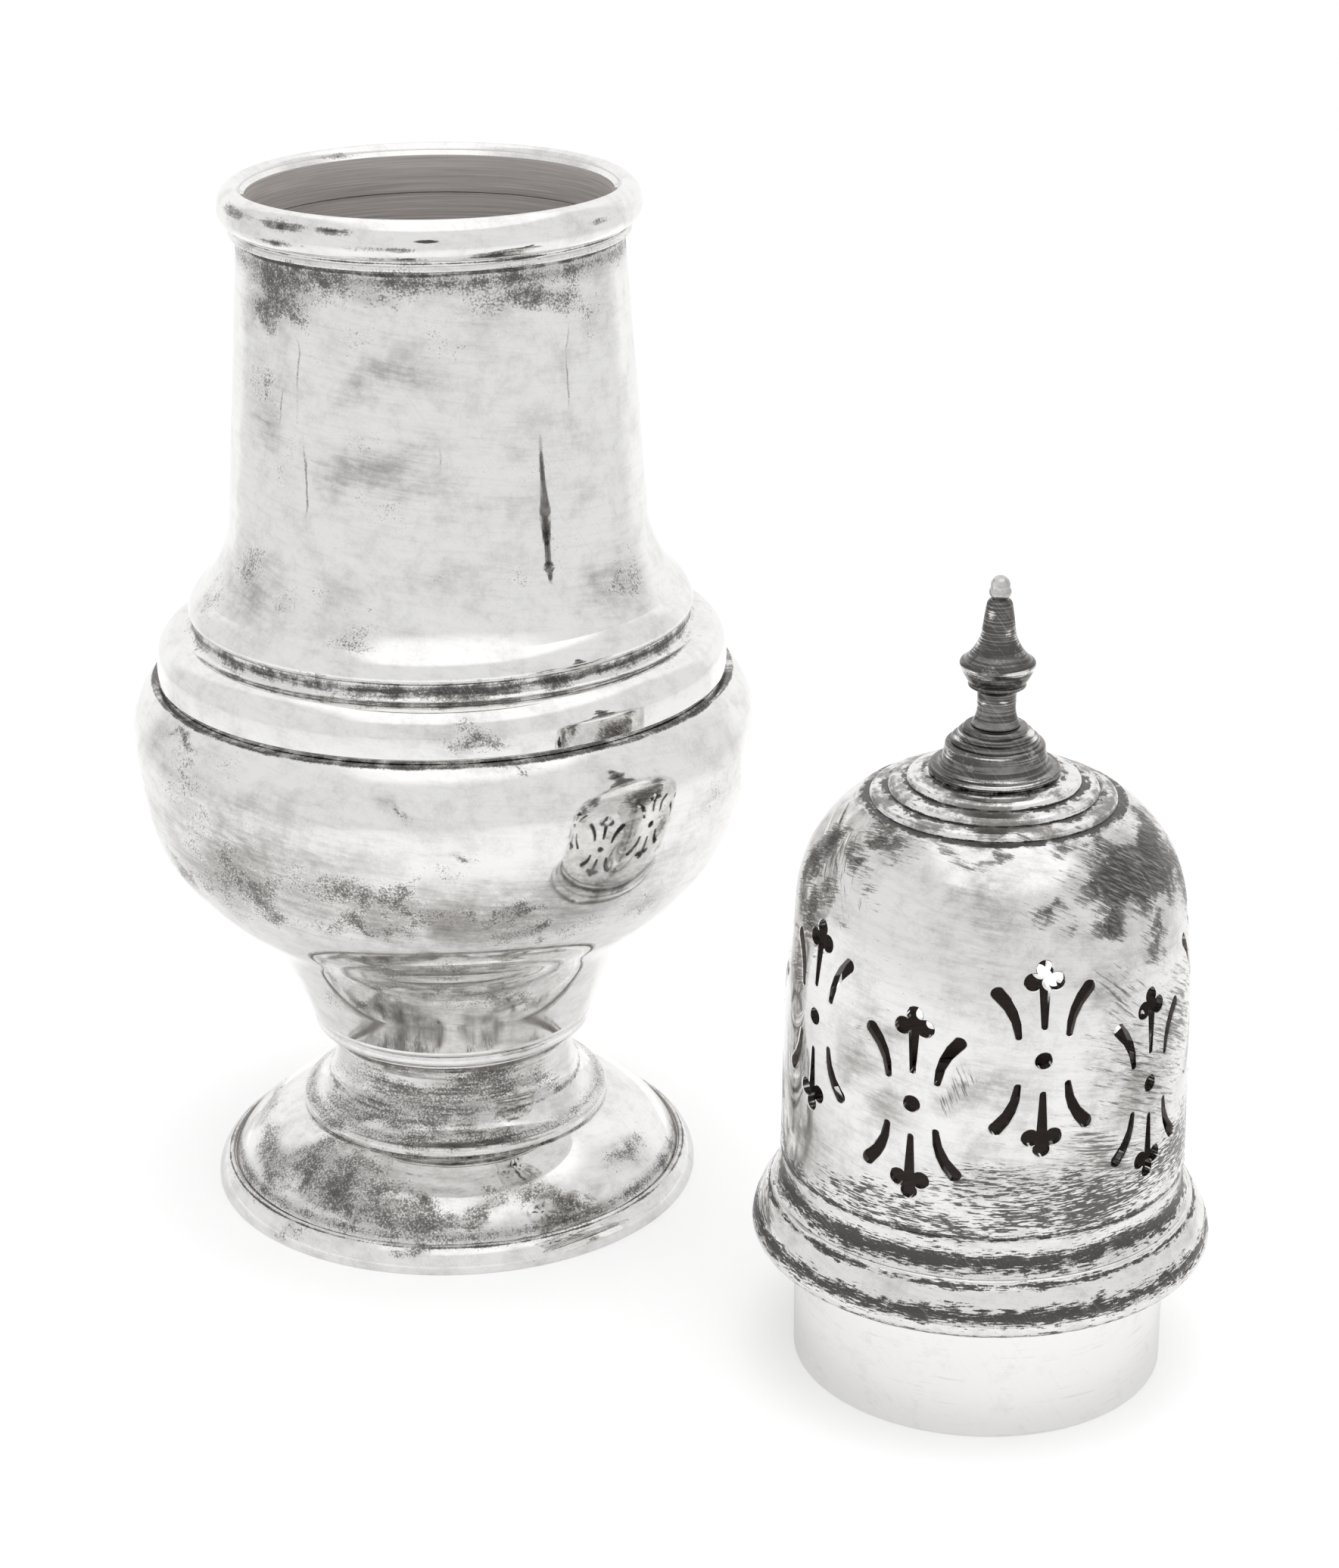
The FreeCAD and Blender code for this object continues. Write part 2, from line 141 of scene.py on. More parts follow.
def section_of(node, axis):
    """Section of a turned node as runs (start, end, turn) in order, with the metal on their left."""
    runs = []
    for points in face_islands(frame["nodes"][node].data):
        flat = points[:, :2] - axis
        radii = np.hypot(*flat.T)
        angles = np.sort(np.arctan2(*flat[radii > join_tolerance].T))
        gaps = np.diff(np.append(angles, angles[0] + math.tau))
        if gaps.max() < around_gap:
            runs.append(section_run(np.column_stack((radii, points[:, 2]))))
    ordered = [next((run for run in runs if min(run[0][0], run[1][0]) < join_tolerance), runs[0])]
    left = [run for run in runs if run is not ordered[0]]
    if ordered[0][1][0] < join_tolerance:
        start, end, turn = ordered[0]
        ordered[0] = (end, start, -turn)
    while left:
        here = ordered[-1][1]
        index = min(range(len(left)), key=lambda i: min(np.hypot(*(left[i][0] - here)),
                                                        np.hypot(*(left[i][1] - here))))
        start, end, turn = left.pop(index)
        if np.hypot(*(end - here)) < np.hypot(*(start - here)):
            start, end, turn = end, start, -turn
        if np.hypot(*(start - here)) > join_tolerance:
            raise RuntimeError(f"the section of {node} doesn't close")
        ordered.append((start, end, turn))
    corners = np.array([run[0] for run in ordered] + [ordered[-1][1]])
    if cross(corners, np.roll(corners, -1, 0)).sum() < 0:
        ordered = [(end, start, -turn) for start, end, turn in reversed(ordered)]
    return ordered


def run_points(start, end, turn, step):
    """Points along a line, or along an arc with the given turn."""
    if abs(turn) < straight_below:
        return np.array((start, end))
    steps = max(2, math.ceil(abs(turn) / step))
    chord = end - start
    centre = (start + end) / 2 + np.array((-chord[1], chord[0])) / (2 * math.tan(turn / 2))
    angles = np.linspace(0, turn, steps + 1)
    arm = start - centre
    return np.column_stack((centre[0] + arm[0] * np.cos(angles) - arm[1] * np.sin(angles),
                            centre[1] + arm[0] * np.sin(angles) + arm[1] * np.cos(angles)))


def trimmed(points, distance):
    """A polyline with the given length cut from its end."""
    points = list(points)
    while len(points) > 2 and np.hypot(*(points[-1] - points[-2])) <= distance:
        distance -= np.hypot(*(points[-1] - points[-2]))
        points.pop()
    last = points[-1] - points[-2]
    points[-1] = points[-1] - last * (distance / np.hypot(*last))
    return np.array(points)


def rounded_section(runs, rounding):
    """A section's points with outward corners rounded, which points stay sharp, and whether it closes."""
    lines = [run_points(*run, arc_step) for run in runs]
    lengths = [np.hypot(*np.diff(line, axis=0).T).sum() for line in lines]
    closed = np.hypot(*(lines[-1][-1] - lines[0][0])) < join_tolerance
    fillets = {}
    sharp = set()
    for index in range(len(lines)):
        following = (index + 1) % len(lines)
        if not closed and following == 0:
            continue
        before = lines[index][-1] - lines[index][-2]
        after = lines[following][1] - lines[following][0]
        turn = math.atan2(cross(before, after), before @ after)
        if turn > round_corner_above:
            reach = min(rounding, edge_round_share * min(lengths[index], lengths[following]))
            fillets[index] = reach * math.tan(min(turn, math.pi / 2) / 2)
        elif abs(turn) > sharp_corner_above:
            sharp.add(index)
    points = []
    sharp_points = []
    for index, line in enumerate(lines):
        corner = line[-1]
        previous = (index - 1) % len(lines) if index or closed else None
        if previous in fillets:
            line = trimmed(line[::-1], fillets[previous])[::-1]
        if index in fillets:
            line = trimmed(line, fillets[index])
        following = lines[(index + 1) % len(lines)]
        points += list(line)
        if index in fillets:
            far = trimmed(following[::-1], fillets[index])[-1]
            for step in range(1, edge_round_steps):
                share = step / edge_round_steps
                points.append((1 - share) ** 2 * line[-1] + 2 * share * (1 - share) * corner
                              + share ** 2 * far)
        else:
            points.pop()
            if index in sharp:
                sharp_points.append(len(points))
    if not closed:
        points.append(lines[-1][-1])
    return np.array(points), [point % len(points) for point in sharp_points], closed


def turned_mesh(name, section, sharp, closed, axis):
    """Mesh of a section turned about an upright axis, smooth but at the sharp points."""
    vertices = []
    rings = []
    for radius, height in section:
        first = len(vertices)
        if radius < join_tolerance:
            vertices.append((axis[0], axis[1], height))
            rings.append([first] * turn_segments)
            continue
        for segment in range(turn_segments):
            angle = math.tau * segment / turn_segments
            vertices.append((axis[0] + radius * math.cos(angle), axis[1] + radius * math.sin(angle), height))
        rings.append(list(range(first, first + turn_segments)))
    faces = []
    for index in range(len(rings) if closed else len(rings) - 1):
        low, high = rings[index], rings[(index + 1) % len(rings)]
        for segment in range(turn_segments):
            after = (segment + 1) % turn_segments
            corners = (low[segment], low[after], high[after], high[segment])
            faces.append(tuple(dict.fromkeys(corners)))
    mesh = bpy.data.meshes.new(name)
    mesh.from_pydata(vertices, [], faces)
    mesh.shade_smooth()
    ring_of = np.empty(len(vertices), int)
    for index, ring in enumerate(rings):
        ring_of[ring] = index
    ends = np.empty(len(mesh.edges) * 2, int)
    mesh.edges.foreach_get("vertices", ends)
    first, second = ring_of[ends].reshape(-1, 2).T
    marks = mesh.attributes.new("sharp_edge", "BOOLEAN", "EDGE")
    marks.data.foreach_set("value", (first == second) & np.isin(first, sharp))
    return mesh


def add_piece(name, mesh, body, nodes, material):
    """Object that stands for CAD nodes and rides on their body."""
    piece = bpy.data.objects.new(name, mesh)
    bpy.context.scene.collection.objects.link(piece)
    mesh.materials.append(material)
    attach(piece, body)
    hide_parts(*nodes)
    return piece


def outline_points(shares, side, way):
    """Outline of one hole of a motif, as points across and up from its centre, anticlockwise."""
    scale = np.array((side * motif_half_width, way * motif_half_height))
    corners = [np.array(share[:2]) * scale for share in shares]
    bulges = [motif_round_bulge_share] + [share[2] for share in shares[1:]]
    points = []
    for index, bulge in enumerate(bulges):
        turn = side * way * 4 * math.atan(2 * bulge)
        points += list(run_points(corners[index - 1], corners[index], turn, outline_step)[:-1])
    return np.array(points if side * way > 0 else points[::-1])


def grown(outline, distance):
    """A closed anticlockwise outline moved outwards by a distance."""
    before = outline - np.roll(outline, 1, 0)
    after = np.roll(outline, -1, 0) - outline
    directions = [line / np.hypot(*line.T)[:, None] for line in (before, after)]
    tangent = directions[0] + directions[1]
    tangent /= np.hypot(*tangent.T)[:, None]
    return outline + distance * np.column_stack((tangent[:, 1], -tangent[:, 0]))


def motif_outlines():
    """Outlines of the holes of one motif: a dot, two trefoils and four drops."""
    angles = np.arange(0, math.tau, outline_step)
    outlines = [motif_dot_radius * np.column_stack((np.cos(angles), np.sin(angles)))]
    for way in (1, -1):
        outlines.append(outline_points(trefoil_shares, 1, way))
        for side in (1, -1):
            outlines.append(outline_points(drop_shares, side, way))
    return outlines


def cutter_mesh(section):
    """All the hole cutters in one mesh, each with a small bevel where it meets the dome's outside."""
    rising = section[np.argmax(section[:, 0]):np.argmax(section[:, 1])]
    vertices = []
    faces = []
    for index in range(motif_count):
        azimuth = math.radians(motif_phase + index * 360 / motif_count)
        height = motif_low_height if index % 2 else motif_high_height
        for outline in motif_outlines():
            bevelled = grown(outline, hole_edge)
            depths = []
            for layer, edge in ((bevelled, 0.0), (bevelled, 0.0), (outline, hole_edge)):
                surface = np.interp(height + layer[:, 1], rising[:, 1], rising[:, 0])
                depths.append(np.sqrt(surface ** 2 - layer[:, 0] ** 2) - edge)
            depths[0] = depths[0] + cutter_overrun
            layers = [bevelled, bevelled, outline, outline]
            depths.append(depths[2] - cutter_reach)
            first = len(vertices)
            count = len(outline)
            for layer, depth in zip(layers, depths):
                for (across, up), out in zip(layer, depth):
                    x = across * math.cos(azimuth) + out * math.sin(azimuth)
                    y = across * math.sin(azimuth) - out * math.cos(azimuth)
                    vertices.append((cover_axis[0] + x, cover_axis[1] + y, height + up))
            for layer in range(len(layers) - 1):
                for corner in range(count):
                    after = (corner + 1) % count
                    low, high = first + layer * count, first + (layer + 1) * count
                    faces.append((low + corner, high + corner, high + after, low + after))
            last = first + (len(layers) - 1) * count
            faces.append(tuple(range(first, first + count)))
            faces.append(tuple(reversed(range(last, last + count))))
    mesh = bpy.data.meshes.new("hole_cutters")
    mesh.from_pydata(vertices, [], faces)
    return mesh


def section_normals(section):
    """Outward normals at the points of a closed section that has the metal on its left."""
    before = section - np.roll(section, 1, 0)
    after = np.roll(section, -1, 0) - section
    tangent = before / np.hypot(*before.T)[:, None] + after / np.hypot(*after.T)[:, None]
    tangent /= np.hypot(*tangent.T)[:, None]
    return np.column_stack((tangent[:, 1], -tangent[:, 0]))


def set_turned_normals(mesh, section, axis):
    """Exact normals on the turned faces of a cut mesh; the holes' walls keep those of their faces."""
    normals = section_normals(section)
    following = np.roll(section, -1, 0)
    runs = following - section
    lengths = (runs ** 2).sum(1)
    corners = np.empty(len(mesh.loops), int)
    mesh.loops.foreach_get("vertex_index", corners)
    places = np.empty(len(mesh.vertices) * 3)
    mesh.vertices.foreach_get("co", places)
    places = places.reshape(-1, 3)
    flat = places[:, :2] - axis
    radii = np.hypot(*flat.T)
    points = np.column_stack((radii, places[:, 2]))
    share = np.clip(((points[:, None] - section) * runs).sum(2) / lengths, 0, 1)
    gaps = ((points[:, None] - section - share[..., None] * runs) ** 2).sum(2)
    sizes = np.empty(len(mesh.polygons), int)
    mesh.polygons.foreach_get("loop_total", sizes)
    face_normals = np.empty(len(mesh.polygons) * 3)
    mesh.polygon_normals.foreach_get("vector", face_normals)
    face_normals = np.repeat(face_normals.reshape(-1, 3), sizes, 0)
    outward = flat / np.maximum(radii, join_tolerance)[:, None]
    best = face_normals.copy()
    agreement = np.full(len(corners), math.cos(normal_agreement))
    nearest = np.argsort(gaps, 1)[:, :nearest_runs]
    for rank in range(nearest.shape[1]):
        run = nearest[:, rank]
        rows = np.arange(len(run))
        near = gaps[rows, run] < normal_reach ** 2
        part = share[rows, run][:, None]
        normal = (1 - part) * normals[run] + part * normals[(run + 1) % len(normals)]
        exact = np.column_stack((outward * normal[:, :1], normal[:, 1]))
        exact /= np.linalg.norm(exact, axis=1)[:, None]
        exact = exact[corners]
        match = (exact * face_normals).sum(1)
        better = near[corners] & (match > agreement)
        best[better] = exact[better]
        agreement[better] = match[better]
    mesh.normals_split_custom_set(best)


def pierced_dome_mesh(section, sharp):
    """Fine mesh of the dome with its holes cut and exact normals."""
    mesh = turned_mesh("whole_dome", section, sharp, True, cover_axis)
    dome = bpy.data.objects.new("whole_dome", mesh)
    cutters = bpy.data.objects.new("hole_cutters", cutter_mesh(section))
    for thing in (dome, cutters):
        bpy.context.scene.collection.objects.link(thing)
    cut = dome.modifiers.new("holes", "BOOLEAN")
    cut.object = cutters
    cut.operation = "DIFFERENCE"
    cut.solver = "MANIFOLD"
    evaluated = dome.evaluated_get(bpy.context.evaluated_depsgraph_get())
    pierced = bpy.data.meshes.new_from_object(evaluated)
    pierced.materials.clear()
    for thing in (dome, cutters):
        bpy.data.objects.remove(thing)
    pierced.shade_smooth()
    set_turned_normals(pierced, section, cover_axis)
    return pierced


def axis_of(node):
    """Place of a turned node's axis."""
    low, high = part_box(node)
    return np.array(((low.x + high.x) / 2, (low.y + high.y) / 2))


vessel_axis = np.zeros(2)
cover_axis = axis_of("cover_flange")
body_axis = {"vessel": vessel_axis, "cover": cover_axis}
bodies = frame["record"]["behaviour"]["bodies"]
slots = {row["node"]: row["material_slot"] for row in frame["record"]["subparts"]}
sections = {}
for body, nodes in bodies.items():
    for node in nodes:
        sections[node] = rounded_section(section_of(node, body_axis[body]), edge_round)


def outer_radius(body, height):
    """Largest radius of a body's pieces at a height."""
    radii = [0.0]
    for node in bodies[body]:
        points = sections[node][0]
        for (r0, z0), (r1, z1) in zip(points, np.roll(points, -1, 0)):
            if min(z0, z1) <= height <= max(z0, z1) and z0 != z1:
                radii.append(r0 + (r1 - r0) * (height - z0) / (z1 - z0))
    return max(radii)


# Tarnish and the painted light noted at its tables: where they lie in the photograph, in degrees and
# millimetres on the vessel or the cover.
# A patch is azimuth, height, half width, half height and strength, with a tilt in degrees or none.
# A ring or a band is height, half height and strength.
vessel_specks = (
    (-44, 118, 13, 6, 1.6), (-28, 119, 14, 3.6, 1.4), (-56, 114.6, 9, 4, 1.3), (-54, 107, 9, 11, 0.66),
    (31, 118, 14, 5, 1.1), (57, 114.5, 9, 9, 0.74), (10, 113, 14, 6, 0.56), (-22, 112, 12, 6, 0.5),
    (-14, 97.5, 16, 9, 0.48), (-42, 96, 9, 12, 0.5), (34, 100, 12, 14, 0.4), (-38.5, 82, 5, 4, 0.85),
    (-56, 83, 7, 6.5, 0.82), (-68, 80, 6, 6, 0.82), (-24, 84, 7, 5.5, 0.75), (-19, 80, 6, 2.6, 0.75),
    (5, 86.6, 6, 2.6, 0.75), (24, 86, 12, 8, 0.46), (56, 82.4, 8, 5, 0.85), (9, 69.6, 7.6, 2.4, 1.1),
    (-5, 64.2, 5, 1.4, 0.95, 25), (16, 66.3, 6, 1.1, 0.85), (-54, 66.4, 14, 2, 0.9),
    (-50, 60, 15, 11, 0.78), (-38, 51, 24, 10, 1.16), (-13, 51.5, 20, 8, 1.14), (-24, 57, 16, 6, 0.72),
    (5.3, 57, 3.4, 1.5, 0.85), (4.5, 50.4, 8, 3.6, 1.35), (13, 50, 8, 3.2, 1.3), (-11, 47, 9, 3.2, 1.45),
    (18, 46.5, 14, 4.5, 1.15), (-58, 47, 14, 7, 0.95), (44, 46.4, 9, 5, 0.95), (58, 57.8, 9, 6, 0.7),
    (-8, 40, 24, 8, 0.8), (14, 33, 18, 6, 0.7), (-30, 30, 14, 5, 0.75), (-36, 7.2, 16, 4.6, 1.8),
    (-11, 5.4, 19, 3, 1.6), (8, 5, 15, 2.6, 1.5), (-60, 6.6, 13, 4.4, 1.3), (30, 5.4, 12, 2.8, 1.3),
    (61, 6.4, 9, 3.6, 1.2), (-40, 2, 10, 1.6, 0.8), (20, 1.6, 9, 1.3, 0.7), (-4, 15.8, 24, 4.8, 1.6),
    (-34, 12.6, 16, 3.2, 1.5), (14, 18.6, 14, 3, 1.2), (120, 100, 22, 14, 0.75), (200, 112, 16, 10, 0.9),
    (150, 56, 20, 10, 0.9), (240, 50, 22, 9, 0.95), (165, 6.5, 14, 3.4, 1.5), (265, 7, 12, 3.4, 1.3),
    (105, 45, 16, 6, 0.9), (210, 81, 14, 5, 0.9))
vessel_clouds = (
    (-5, 108.4, 9, 4.6, 0.36), (-13, 98.3, 13, 5, 0.4), (5, 104, 6, 9, 0.13), (-49, 103, 6, 9, 0.34),
    (-52, 82, 11, 7, 0.34), (55, 83, 10, 6, 0.32), (25, 94, 14, 10, 0.12), (-34, 54, 26, 14, 0.46),
    (4, 49, 28, 8, 0.56), (30, 62, 16, 7, 0.14), (-60, 66, 12, 7, 0.24), (40, 52, 16, 8, 0.22),
    (0, 15, 26, 6, 0.4), (0, 30, 30, 7, 0.26), (-20, 6, 26, 4, 0.42), (140, 108, 14, 9, 0.3),
    (190, 60, 24, 9, 0.3), (260, 95, 14, 10, 0.3))
vessel_lines = (
    (-36.9, 108.5, 0.5, 13, 0.95), (-33, 96, 0.52, 14, 1, -4), (43.6, 108.5, 0.48, 15, 1, 4),
    (5.1, 100, 0.4, 7, 0.9), (-43.5, 105, 0.45, 9, 0.9, 8), (-13, 63.5, 0.16, 2.6, 0.6, 8),
    (70, 108, 0.24, 9, 0.5), (-15, 92, 0.2, 6, 0.35, 3), (160, 106, 0.3, 10, 0.6),
    (228, 98, 0.3, 9, 0.6, 4))
vessel_rings = (
    (2.95, 0.26, 1.1), (10.15, 0.36, 1), (11.15, 0.45, 0.65), (13.9, 1.5, 0.88), (19.9, 1, 0.78),
    (20.75, 0.28, 1.1), (21.5, 0.25, 1.1), (22.9, 0.32, 1.1), (67.45, 0.36, 1.1), (74.8, 2.2, 1.08),
    (120.75, 0.9, 1.15), (121.15, 0.22, 1.3), (122.15, 0.32, 1.1))
vessel_bands = (
    (119.8, 3.4, 1.05), (3.7, 1.7, 1.1), (11.6, 1.3, 0.95), (20.2, 1.8, 0.9))
# Patches on the mouth rim and the belt are tarnish, but the small strong one at azimuth 3 and height 124.9
# is a painted dark reflection.
rim_tarnish_and_reflection = (
    (-58, 125.6, 9, 1.8, 0.8), (-38, 125.6, 10, 1.3, 0.85), (-22, 125.7, 8, 0.9, 0.75),
    (-42, 123.6, 9, 0.9, 0.8), (-8, 124, 9, 0.7, 0.7), (21, 123, 6, 0.8, 1), (-5, 122.8, 9, 0.6, 0.8),
    (52, 125, 7, 0.8, 0.6), (150, 125.4, 8, 1, 0.8), (215, 126.2, 9, 0.8, 0.7), (3, 124.9, 2, 0.3, 1.6),
    (-2, 122.9, 1.6, 0.22, 1.4), (8.5, 69.7, 6.6, 1.8, 0.62))
# Cover patches are tarnish, but the one at azimuth -78 and height 62.5 is a painted reflection of the
# vessel.
cover_specks_and_reflection = (
    (46, 63.6, 9.5, 6.6, 1.8), (62, 63.2, 9.5, 7, 1.8), (72, 66, 8, 4.2, 1.7), (36, 60.2, 5.5, 3.4, 1.4),
    (52, 57.4, 6, 4.2, 1.2), (80, 60, 8, 7, 1.5), (27, 64.4, 5, 2.8, 1.2), (14, 62.6, 5.5, 3, 1.05),
    (22, 60, 3.5, 2.4, 0.95), (-78, 62.5, 7, 7.5, 1.35), (-70, 57.6, 5.5, 5, 1.2), (-55, 64.4, 6, 3, 1.05),
    (-62, 60.5, 4.5, 3.4, 1), (-50, 66.9, 8, 1.6, 1.1), (-20, 67.4, 8, 1.2, 0.95), (-3, 67.6, 10, 1, 1.05),
    (33, 67.6, 9, 1.3, 1.1), (-42, 49, 6, 3.4, 0.75), (-76, 50, 6, 8, 0.8), (130, 62, 12, 7, 1.4),
    (170, 48, 9, 7, 0.8), (220, 64, 9, 5, 1.2), (255, 46, 8, 7, 0.8), (236, 59, 11, 8, 1.4),
    (212, 44, 7, 9, 1.1))
cover_clouds = (
    (-9, 63.2, 8, 7, 0.46), (-8, 57, 7, 5, 0.3), (-45, 44.5, 7, 6, 0.46), (-32, 48.4, 4, 3.4, 0.44),
    (-34, 40, 7, 5.5, 0.4), (-4, 44.4, 7, 5, 0.4), (10, 33, 16, 7, 0.34), (40, 42, 12, 14, 0.46),
    (30, 54, 9, 6, 0.36), (110, 44, 14, 12, 0.4), (200, 56, 14, 9, 0.4), (-90, 34, 9, 9, 0.42),
    (-60, 32, 12, 6, 0.36))
cover_brushed = (
    (42, 42.5, 14, 14, 1.05, 24), (28, 34, 12, 6, 1, 12), (34, 52.5, 8, 6, 0.85, 40),
    (62, 46, 12, 14, 1, 30), (-11, 43.8, 3.4, 2.8, 1, 70), (-66, 63, 8, 7, 1, 55),
    (150, 44, 12, 10, 0.85, 20))
cover_dashes = (
    (28, 29.4, 17, 6, 1.25), (-2, 31.4, 12, 4.6, 0.95), (-40, 28, 11, 3.6, 0.95),
    (-14, 26.8, 18, 2.2, 1.05), (8, 27.4, 12, 2.6, 1.1), (-70, 27, 12, 2.4, 1), (64, 30, 14, 7, 1.1),
    (90, 29, 14, 3.4, 0.9), (170, 28, 16, 3.2, 0.9), (250, 28, 14, 3, 0.95))
# Cover rings: tarnish bands on the flange and dark lines in the crown's creases; the one at 71.05 mm is
# painted shade under the finial's foot.
cover_rings_and_shade = (
    (15.3, 0.9, 0.85), (17.6, 2, 1.05), (20.6, 0.7, 0.9), (22.8, 2.3, 1.18), (25.8, 0.9, 1.05),
    (68.05, 0.3, 1.2), (69.1, 0.3, 1.1), (70.08, 0.3, 1.1), (71.05, 0.22, 0.8))
# Bright places on the finial: wear in part, mostly painted highlights.
finial_wear_and_highlights = (
    (-40, 89.3, 0.9, 1.2, 1.3), (30, 87.3, 1, 0.8, 1.1), (-62, 83.2, 3, 0.65, 1.9),
    (-25, 83, 2.4, 0.5, 1.6), (28, 83.3, 2.6, 0.65, 1.9), (70, 83.2, 3, 0.65, 1.6),
    (-50, 79.3, 1, 0.4, 1.3, -14), (16, 79.6, 1.1, 0.4, 1.3, 14), (-70, 73.7, 3, 0.9, 1.3),
    (-5, 74.25, 5, 0.35, 1.1), (45, 74.1, 3, 0.6, 1.2), (-5, 71.7, 9, 0.55, 1.4),
    (-76, 75.4, 2.6, 1.2, 1.1), (72, 75.6, 2.6, 1.2, 1.1), (-80, 79, 2, 2, 0.9), (-78, 86.2, 1.2, 3, 1.1),
    (66, 86.6, 1.2, 3, 1.1), (180, 83.2, 4, 0.7, 1.6), (180, 71.7, 9, 0.55, 1.4), (150, 73.6, 7, 1, 1))

# Arcs of polishing scratches on the bowl: azimuth, height, half width and half height
arc_patch = (12, 43, 15, 7)
arc_strength = 0.55

# How far the edges of patches stray, in millimetres, and the drip lines, as a share of that
patch_stray = 11
line_wander = 0.28

# How far a patch reaches into the metal, as a share of its larger half size
patch_thickness = 2

# Pieces with finishes of their own, and the swell of the neck's wall, in millimetres
streaked_nodes = ("stem", "stem_collar")
bright_lips = ("mouth_rim",)
swelling_node = "neck"
swell_low = 86
swell_high = 118
swell_depth = 1.0

# Noises: scale per millimetre, detail and roughness, and the range that is spread over nought to one
fine_noise = (4.2, 4.0, 0.74)
mottle_noise = (0.22, 8.0, 0.74)
stray_noise = (0.11, 3.0, 0.6)
wave_noise = (0.11, 1.0, 0.4)
wander_noise = (0.3, 1.0, 0.6)
noise_low = 0.28
noise_high = 0.72

# Streaks: millimetres along and upright, detail and roughness, and an azimuth and a tilt or none
level_streaks = (7.0, 0.35, 4.0, 0.65)
wipe_streaks = (5.0, 0.6, 5.0, 0.7, 0, 9)
scratch_streaks = (9.0, 0.09, 2.0, 0.6, 20, 58)
inside_streaks = (14.0, 0.14, 3.0, 0.6)
lathe_streaks = (20.0, 0.22, 3.0, 0.6)
grain_streaks = (2.4, 0.24, 4.0, 0.7, 50, 34)
slant_streaks = (3.4, 0.26, 4.0, 0.7)
dash_streaks = (1.3, 0.17, 2.0, 0.55)
finial_streaks = (9.0, 0.24, 2.0, 0.6)

# Mixtures: the share of each value in turn, and last an even level
blotch_mixture = (0.45, 0.55, 0.0)
speck_mixture = (0.9, 1.15, -0.52)
cloud_mixture = (1.0, 0.8, -0.1)
veil_mixture = (1.0, 0.25, -0.12)
depth_mixture = (-0.35, 1.0)
line_mixture = (0.4, 0.5, 0.0)
seam_mixture = (0.4, 0.6, 0.95, -0.47)
arc_mixture = (11.0, 33.0, 0.0)
grain_mixture = (1.0, 0.38)
slant_mixture = (1.5, -0.25)
dash_mixture = (1.7, 0.4, -0.52)
cover_seam_mixture = (0.8, 0.8, 0.4, -0.5)
crown_mixture = (1.0, 0.6, 0.0)
# Mixture for the finial's bright places, which are painted highlights and wear
wear_and_highlight_mixture = (0.4, 0.5, 0.0)
finial_mixture = (0.30, 0.4, -0.80, 0.50)

# Ramps: where one starts and ends, and its values there where they aren't nought and one
scratch_ramp = (0.72, 1.0)
veil_ramp = (0.34, 1.0)
wipe_ramp = (0.40, 0.95)
dulling_ramp = (0.0, 0.5)
darkening_ramp = (0.35, 1.0)
arc_ramp = (0.1, 1.0)
arc_grain_ramp = (0.35, 0.8)
dash_ramp = (0.0, 0.5, 0.0, 0.85)
crown_low_ramp = (67.2, 68.0)
crown_high_ramp = (71.6, 71.4)
crown_ramp = (0.66, 1.1)
finial_line_ramp = (0.25, 0.75)
finial_worn_ramp = (0.62, 0.90, 0.0, 0.7)
bead_ramp = (90.70, 91.00)
scuff_ramp = (0.62, 1.1)
flange_shade_ramp = (13.6, 14.9)

# How softly tarnish and the painted highlights, reflections and shade end, how deeply grain breaks them up,
# and how strong they are
speck_most = 1.0
speck_softness = 0.8
speck_grain = 0.3
speck_strength = 0.92
cloud_around_specks = 0.26
line_softness = 0.8
line_strength = 0.7
seam_softness = 0.7
seam_grain = 0.4
rim_noise = 0.7
rim_softness = 0.6
rim_grain = 0.35
cover_speck_softness = 0.55
slant_softness = 0.7
slant_strength = 0.75
dash_softness = 0.3
cover_seam_softness = 0.4
cover_seam_grain = 0.2
crown_strength = 0.65
wear_and_highlight_softness = 0.7
bead_strength = 0.62
scuff_strength = 0.22
flange_shade = 0.45

# How far haze, wiping marks and scratches veil clean silver
haze_share = 0.30
wipe_share = 0.09
scratch_share = 0.14

# Insides: how far a surface turns from the axis before it is one, and how streaked it is
lip_turn = 0.80
inside_turn = 0.05
turn_blur = 0.15
inside_streaking = 0.4

# Depth of waves and of turning marks, in millimetres
wave_depth = 0.016
inside_marks = 0.004

# Colours of silver, from clean to black, and of its insides
clean_silver = (0.950, 0.945, 0.935)
dull_silver = (0.42, 0.405, 0.39)
dark_silver = (0.095, 0.090, 0.087)
inside_silver = {"vessel": (0.93, 0.890, 0.865), "cover": (0.50, 0.440, 0.410)}
clean_roughness = 0.025
veil_roughness = 0.07
tarnish_roughness = 0.30
inside_roughness = 0.68


